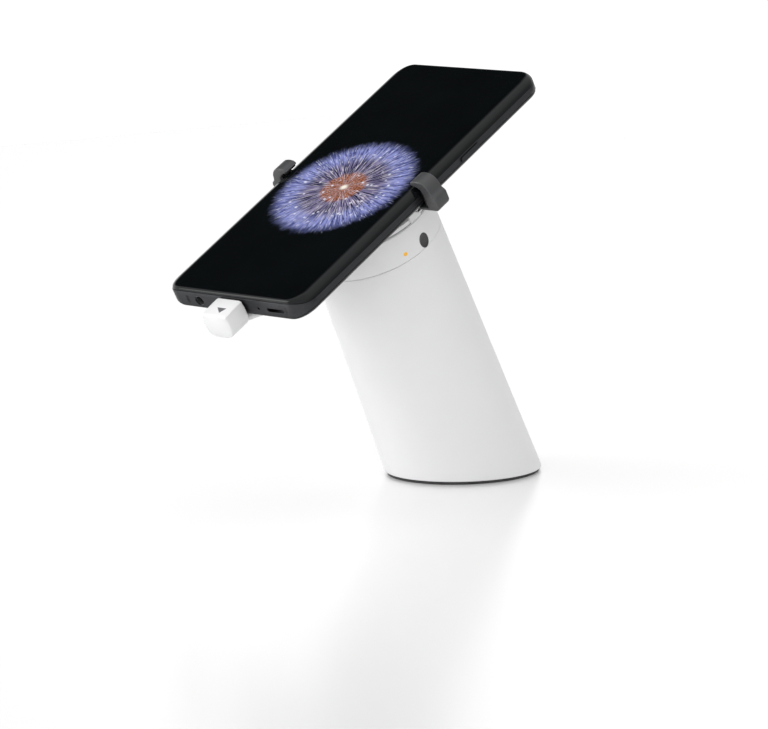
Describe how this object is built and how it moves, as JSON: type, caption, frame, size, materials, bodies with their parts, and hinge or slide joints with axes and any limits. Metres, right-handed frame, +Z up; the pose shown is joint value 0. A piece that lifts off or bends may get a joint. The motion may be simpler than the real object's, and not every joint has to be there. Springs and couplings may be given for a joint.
{
  "type": "phone display stand",
  "caption": "Slanted retail counter stand holding a demonstration phone in two hook arms on a tethered puck, with a short charge lead.",
  "frame": {"origin": "middle of the elliptical foot, on the counter", "axes": "+X right and +Y away for someone facing the screen, +Z up"},
  "size_m": [0.0816, 0.1661, 0.1531],
  "materials": {
    "body_white": "satin white moulded plastic",
    "head_white": "satin white moulded plastic",
    "inner_plastic": "plain grey moulded plastic",
    "cast_iron": "rough cast iron with a machined foot",
    "foot_rubber": "thin black non-slip rubber",
    "steel": "zinc plated steel",
    "gold_contact": "gold plated brass contacts",
    "circuit_board": "green circuit board",
    "black_plastic": "black moulded plastic",
    "port_lens": "dark infrared window",
    "amber_light": "glowing amber light pipe",
    "cable_sheath": "grey nylon coated steel cable",
    "arm_grey": "dark grey satin powder coat",
    "pad_rubber": "soft black rubber liner",
    "foam_adhesive": "grey foam adhesive",
    "phone_metal": "black anodised satin aluminium",
    "phone_glass": "black polished cover glass",
    "display": "lit display with a radial burst picture",
    "antenna": "black antenna break plastic",
    "battery_foil": "laminated battery pouch",
    "plug_white": "satin white overmould",
    "lead_white": "smooth white cable sheath",
    "arrow_grey": "grey printed arrow"
  },
  "bodies": {
    "stand": {"base_gasket": "foot_rubber", "base_casting": "cast_iron", "body_shell": "body_white", "head_ring": "head_white", "docking_plate": "inner_plastic", "tether_bush": "black_plastic", "status_led": "amber_light", "key_port_lens": "port_lens", "board_carrier": "inner_plastic", "control_board": "circuit_board", "alarm_sounder": "inner_plastic", "reel_bracket": "steel", "spring_cassette": "steel", "power_inlet": "black_plastic", "base_screws": "steel", "dock_screws": "steel"},
    "reel": {"reel_drum": "inner_plastic", "reel_axle": "steel", "wound_cable": "cable_sheath"},
    "pins": {"contact_pins": "gold_contact"},
    "puck": {"puck_shell": "head_white", "puck_cover": "head_white", "puck_board": "circuit_board", "contact_rings": "gold_contact", "tether_swivel": "steel", "tether_cable": "cable_sheath", "cradle_hub": "head_white", "adhesive_pad": "foam_adhesive", "cradle_screws": "steel", "lead_grommet": "head_white", "charge_lead": "lead_white", "phone_frame": "phone_metal", "front_glass": "phone_glass", "display_panel": "display", "back_glass": "phone_glass", "battery": "battery_foil", "main_board": "circuit_board", "loudspeaker": "black_plastic", "speaker_mesh": "steel", "usb_port": "steel", "audio_jack": "steel", "antenna_bands": "antenna", "earpiece_mesh": "steel", "sim_tray": "phone_metal", "rear_camera": "black_plastic", "camera_window": "port_lens", "camera_ring": "phone_metal", "fingerprint_pad": "black_plastic"},
    "left_arm": {"left_arm": "arm_grey", "left_pad": "pad_rubber"},
    "right_arm": {"right_arm": "arm_grey", "right_pad": "pad_rubber"},
    "power_button": {"power_button": "phone_metal"},
    "volume_rocker": {"volume_rocker": "phone_metal"},
    "assistant_key": {"assistant_key": "phone_metal"},
    "plug": {"charge_plug": "plug_white", "plug_tip": "steel", "plug_arrow": "arrow_grey"}
  },
  "joints": [
    {"name": "puck_lift", "type": "slide", "parent": "stand", "child": "puck", "axis": [0, -0.5, 0.866], "range_m": [0, 0.6], "stiffness_N_per_m": 4, "springref_m": -0.3},
    {"name": "reel_spin", "type": "hinge", "parent": "stand", "child": "reel", "pos_m": [0, -0.03883, 0.05816], "axis": [1, 0, 0], "range_deg": [0, 4329]},
    {"name": "contact_pins_press", "type": "slide", "parent": "stand", "child": "pins", "axis": [0, -0.5, 0.866], "range_m": [-0.0006, 0], "stiffness_N_per_m": 200},
    {"name": "left_arm_slide", "type": "slide", "parent": "puck", "child": "left_arm", "axis": [-1, 0, 0], "range_m": [0, 0.008]},
    {"name": "right_arm_slide", "type": "slide", "parent": "puck", "child": "right_arm", "axis": [1, 0, 0], "range_m": [0, 0.008]},
    {"name": "power_button_press", "type": "slide", "parent": "puck", "child": "power_button", "axis": [-1, 0, 0], "range_m": [0, 0.0003], "stiffness_N_per_m": 600},
    {"name": "volume_rocker_press", "type": "slide", "parent": "puck", "child": "volume_rocker", "axis": [1, 0, 0], "range_m": [0, 0.0003], "stiffness_N_per_m": 600},
    {"name": "assistant_key_press", "type": "slide", "parent": "puck", "child": "assistant_key", "axis": [1, 0, 0], "range_m": [0, 0.0003], "stiffness_N_per_m": 600},
    {"name": "plug_pull", "type": "slide", "parent": "puck", "child": "plug", "axis": [0, -0.866, -0.5], "range_m": [0, 0.008]}
  ],
  "couplings": [
    {"joint": "reel_spin", "follows": "puck_lift", "rad_per_m": 125.79}
  ]
}
